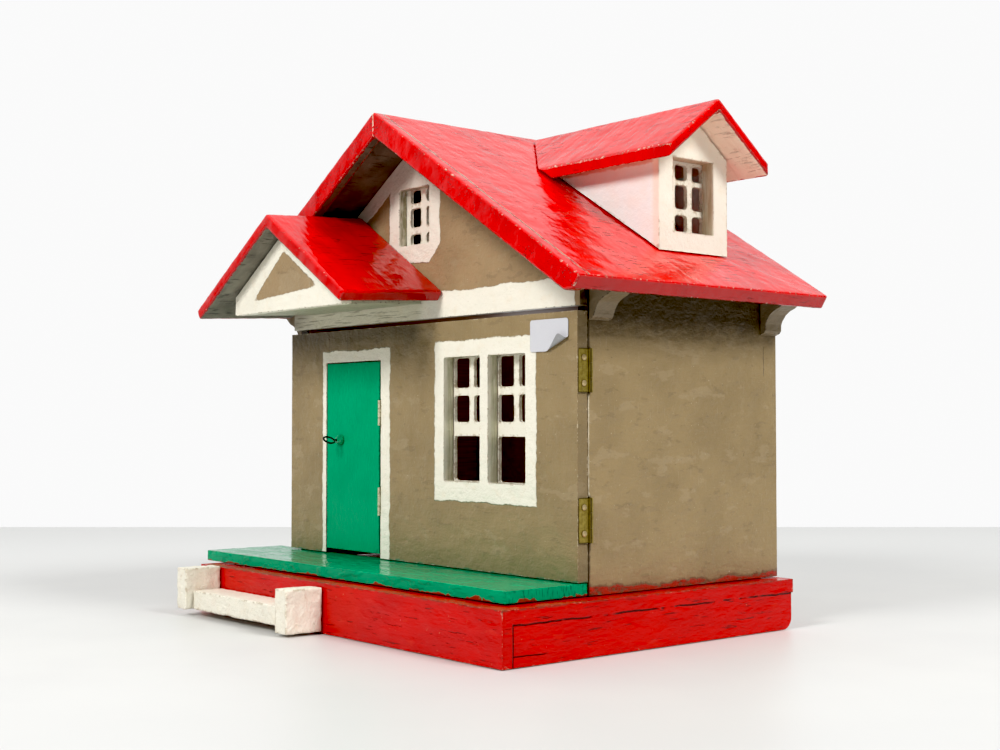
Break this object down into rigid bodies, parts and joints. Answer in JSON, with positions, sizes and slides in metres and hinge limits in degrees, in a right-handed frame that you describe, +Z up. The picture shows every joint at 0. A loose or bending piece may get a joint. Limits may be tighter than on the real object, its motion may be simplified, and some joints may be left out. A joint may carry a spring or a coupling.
{
  "type": "dolls house",
  "caption": "Hand-made wooden doll's house with a swing-open front, hinged door, barred windows, gabled roof, porch roof, dormer, plinth and front step.",
  "frame": {"origin": "centre of the bounding box's bottom, on the ground under the house", "axes": "+X to the right seen from the front, +Y from the front to the back, +Z up"},
  "size_m": [0.43, 0.3152, 0.3782],
  "materials": {
    "red_gloss": "brushed gloss enamel paint over wood",
    "green_gloss": "brushed gloss enamel paint over wood",
    "cream_paint": "thick eggshell paint over wood",
    "taupe_paint": "satin paint over wood",
    "bare_wood": "dark stained wood",
    "brass": "aged brass with paint traces",
    "dark_steel": "darkened steel wire",
    "paper": "matt self-adhesive paper"
  },
  "bodies": {
    "house": {"attic_floor": "bare_wood", "back_wall": "taupe_paint", "bargeboard_left": "red_gloss", "bargeboard_right": "red_gloss", "base_back_rail": "red_gloss", "base_board": "red_gloss", "base_front_rail": "red_gloss", "base_left_rail": "red_gloss", "base_right_rail": "red_gloss", "corbel_back_left": "taupe_paint", "corbel_back_right": "taupe_paint", "corbel_front_left": "taupe_paint", "corbel_front_right": "taupe_paint", "dormer_cheek_far": "cream_paint", "dormer_cheek_near": "cream_paint", "dormer_front": "cream_paint", "dormer_roof_far": "red_gloss", "dormer_roof_near": "red_gloss", "dormer_window_grille": "cream_paint", "gable_wall": "taupe_paint", "gable_window_grille": "cream_paint", "left_side_wall": "taupe_paint", "panel_hinge_pin_lower": "brass", "panel_hinge_pin_upper": "brass", "pediment_board": "cream_paint", "porch_ceiling": "taupe_paint", "porch_floor": "green_gloss", "porch_roof_left": "red_gloss", "porch_roof_right": "red_gloss", "right_side_wall": "taupe_paint", "roof_left_board": "red_gloss", "roof_right_board": "red_gloss", "step_left_cheek": "cream_paint", "step_right_cheek": "cream_paint", "step_tread": "cream_paint", "wall_hinge_leaf_lower": "brass", "wall_hinge_leaf_upper": "brass", "wall_nail_lower_bottom": "dark_steel", "wall_nail_lower_top": "dark_steel", "wall_nail_upper_bottom": "dark_steel", "wall_nail_upper_top": "dark_steel"},
    "front": {"front_panel": "taupe_paint", "window_grille_left": "cream_paint", "window_grille_right": "cream_paint", "panel_hinge_leaf_upper": "brass", "panel_hinge_leaf_lower": "brass", "panel_screw_upper_bottom": "brass", "panel_screw_upper_top": "brass", "panel_screw_lower_bottom": "brass", "panel_screw_lower_top": "brass", "jamb_hinge_leaf_upper": "brass", "jamb_hinge_leaf_lower": "brass", "door_hinge_pin_upper": "brass", "door_hinge_pin_lower": "brass", "paper_label": "paper"},
    "door": {"door": "green_gloss", "door_hinge_leaf_lower": "brass", "door_hinge_leaf_upper": "brass", "door_pull": "dark_steel", "door_pull_boss": "green_gloss"}
  },
  "joints": [
    {"name": "front_swing", "type": "hinge", "parent": "house", "child": "front", "pos_m": [0.17165, -0.03805, 0.135], "axis": [0, 0, 1], "range_deg": [0, 95]},
    {"name": "door_swing", "type": "hinge", "parent": "front", "child": "door", "pos_m": [-0.05265, -0.04875, 0.123], "axis": [0, 0, 1], "range_deg": [0, 160]}
  ]
}
